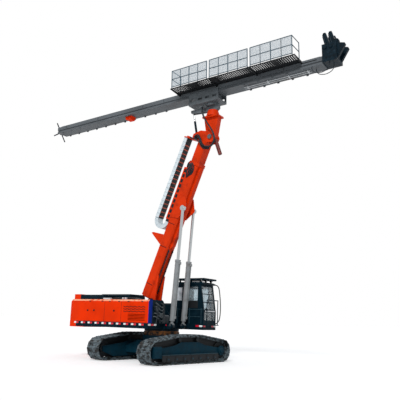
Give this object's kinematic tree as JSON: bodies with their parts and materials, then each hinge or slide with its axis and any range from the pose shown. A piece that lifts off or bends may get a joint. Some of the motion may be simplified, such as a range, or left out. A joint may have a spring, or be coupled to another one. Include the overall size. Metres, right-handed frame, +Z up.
{
  "type": "anchor drilling rig",
  "caption": "Crawler anchor drilling rig: slewing upper with cab, telescopic boom with energy chain, tilting and turning head, long drill mast with platform and rod clamps",
  "frame": {"origin": "on the slew axis at the ground", "axes": "+X the way the cab faces, +Y its left side, +Z up"},
  "size_m": [15.1845, 5.1249, 12.3472],
  "materials": {
    "orange_paint": "glossy orange paint with light dust",
    "blue_paint": "glossy blue paint",
    "dark_frame": "dark blue-grey paint, dusty",
    "track_steel": "worn steel with dry mud",
    "grey_steel": "grey paint",
    "chrome_rod": "polished rod",
    "ring_metal": "greased bronze and steel",
    "chain_black": "black hoses and links",
    "chain_plate": "bare steel side plates",
    "clamp_black": "near-black steel, oily",
    "motor_red": "dark red paint",
    "glass": "tinted glass",
    "hose_rubber": "black hose rubber",
    "divider_red": "orange-red paint",
    "pale_pipe": "pale grey paint",
    "lamp_lens": "clear lamp lens in a dark housing",
    "seat_black": "black cloth"
  },
  "bodies": {
    "undercarriage": {"track_left": "track_steel", "track_right": "track_steel", "side_frame_left": "dark_frame", "side_frame_right": "dark_frame", "sprockets": "track_steel", "idlers": "track_steel", "track_rollers": "track_steel", "carbody": "dark_frame", "slew_ring": "ring_metal"},
    "upper": {"upper_deck": "dark_frame", "boom_pedestal": "dark_frame", "valve_manifold": "grey_steel", "counterweight": "orange_paint", "right_hood": "orange_paint", "hood_end_panel": "blue_paint", "left_hood": "dark_frame", "engine_hood": "dark_frame", "engine_block": "grey_steel", "cab_shell": "dark_frame", "cab_glass": "glass", "cab_roof": "dark_frame", "work_lamps": "lamp_lens", "cab_seat": "seat_black", "cab_handrail": "dark_frame"},
    "cab_door": {"cab_door": "dark_frame", "cab_door_glass": "glass"},
    "lift_barrels": {"lift_barrels": "grey_steel"},
    "lift_rods": {"lift_rods": "chrome_rod"},
    "outer_boom": {"outer_boom": "orange_paint", "chain_tray": "orange_paint", "ram_housing": "orange_paint", "boom_hook": "orange_paint", "boom_hoses": "hose_rubber"},
    "inner_boom": {"inner_boom": "orange_paint", "boom_head": "orange_paint", "chain_run": "chain_plate"},
    "chain_loop": {"chain_loop": "chain_black", "chain_bars": "divider_red"},
    "head": {"head_column": "orange_paint", "swing_motor": "motor_red", "head_yoke": "grey_steel", "head_hose_1": "hose_rubber", "head_hose_2": "hose_rubber"},
    "tilt_barrel": {"tilt_barrel": "dark_frame"},
    "tilt_rod": {"tilt_rod": "chrome_rod"},
    "cradle": {"cradle": "grey_steel"},
    "mast": {"mast_beam": "grey_steel", "mast_rails": "grey_steel", "mast_pipes": "pale_pipe", "mast_bracket": "orange_paint", "clamp_hose_1": "hose_rubber", "clamp_hose_2": "hose_rubber", "platform_frame": "dark_frame", "platform_railing": "dark_frame", "rod_clamps": "clamp_black", "rear_star": "clamp_black"},
    "carriage": {"feed_carriage": "dark_frame"}
  },
  "joints": [
    {"name": "slew", "type": "hinge", "parent": "undercarriage", "child": "upper", "pos_m": [0, 0, 1.2], "axis": [0, 0, 1], "continuous": true},
    {"name": "boom_lift", "type": "hinge", "parent": "upper", "child": "outer_boom", "pos_m": [-0.41, 0, 2.32], "axis": [0, -1, 0], "range_deg": [-50, 8]},
    {"name": "lift_swing", "type": "hinge", "parent": "upper", "child": "lift_barrels", "pos_m": [0.78, 0, 1.39], "axis": [0, -1, 0], "range_deg": [-45.01, 7.22]},
    {"name": "lift_slide", "type": "slide", "parent": "lift_barrels", "child": "lift_rods", "axis": [0.0691, 0, 0.9976], "range_m": [-1.2326, 0.1976]},
    {"name": "telescope", "type": "slide", "parent": "outer_boom", "child": "inner_boom", "axis": [0.3778, 0, 0.9259], "range_m": [0, 3.5]},
    {"name": "chain_travel", "type": "slide", "parent": "outer_boom", "child": "chain_loop", "axis": [0.3778, 0, 0.9259], "range_m": [-0.0005, 1.7505]},
    {"name": "head_tilt", "type": "hinge", "parent": "inner_boom", "child": "head", "pos_m": [2.19972, 0, 9.08546], "axis": [0, 1, 0], "range_deg": [-20, 20], "deforming": ["head_hose_1", "head_hose_2"]},
    {"name": "tilt_swing", "type": "hinge", "parent": "inner_boom", "child": "tilt_barrel", "pos_m": [1.43561, 0, 9.22448], "axis": [0, 1, 0], "range_deg": [-25, 25]},
    {"name": "tilt_slide", "type": "slide", "parent": "tilt_barrel", "child": "tilt_rod", "axis": [-0.1876, 0, 0.9823], "range_m": [-0.2474, 0.2474]},
    {"name": "mast_turn", "type": "hinge", "parent": "head", "child": "cradle", "pos_m": [2.19972, 0, 9.08546], "axis": [-0.0209, 0, 0.9998], "range_deg": [-90, 90]},
    {"name": "mast_slide", "type": "slide", "parent": "cradle", "child": "mast", "axis": [0.9998, 0, 0.0209], "range_m": [-0.9, 0.9]},
    {"name": "carriage_feed", "type": "slide", "parent": "mast", "child": "carriage", "axis": [0.9998, 0, 0.0209], "range_m": [-8.8, 3.7]},
    {"name": "cab_door_swing", "type": "hinge", "parent": "upper", "child": "cab_door", "pos_m": [0.412, 1.516, 2.27], "axis": [0, 0, 1], "range_deg": [0, 95]}
  ],
  "couplings": [
    {"joint": "lift_swing", "follows": "boom_lift", "ratio": 0.89971},
    {"joint": "lift_slide", "follows": "boom_lift", "m_per_rad": 1.4119},
    {"joint": "chain_travel", "follows": "telescope", "ratio": 0.5},
    {"joint": "tilt_swing", "follows": "head_tilt", "ratio": 1.2492},
    {"joint": "tilt_slide", "follows": "head_tilt", "m_per_rad": 0.70734}
  ]
}
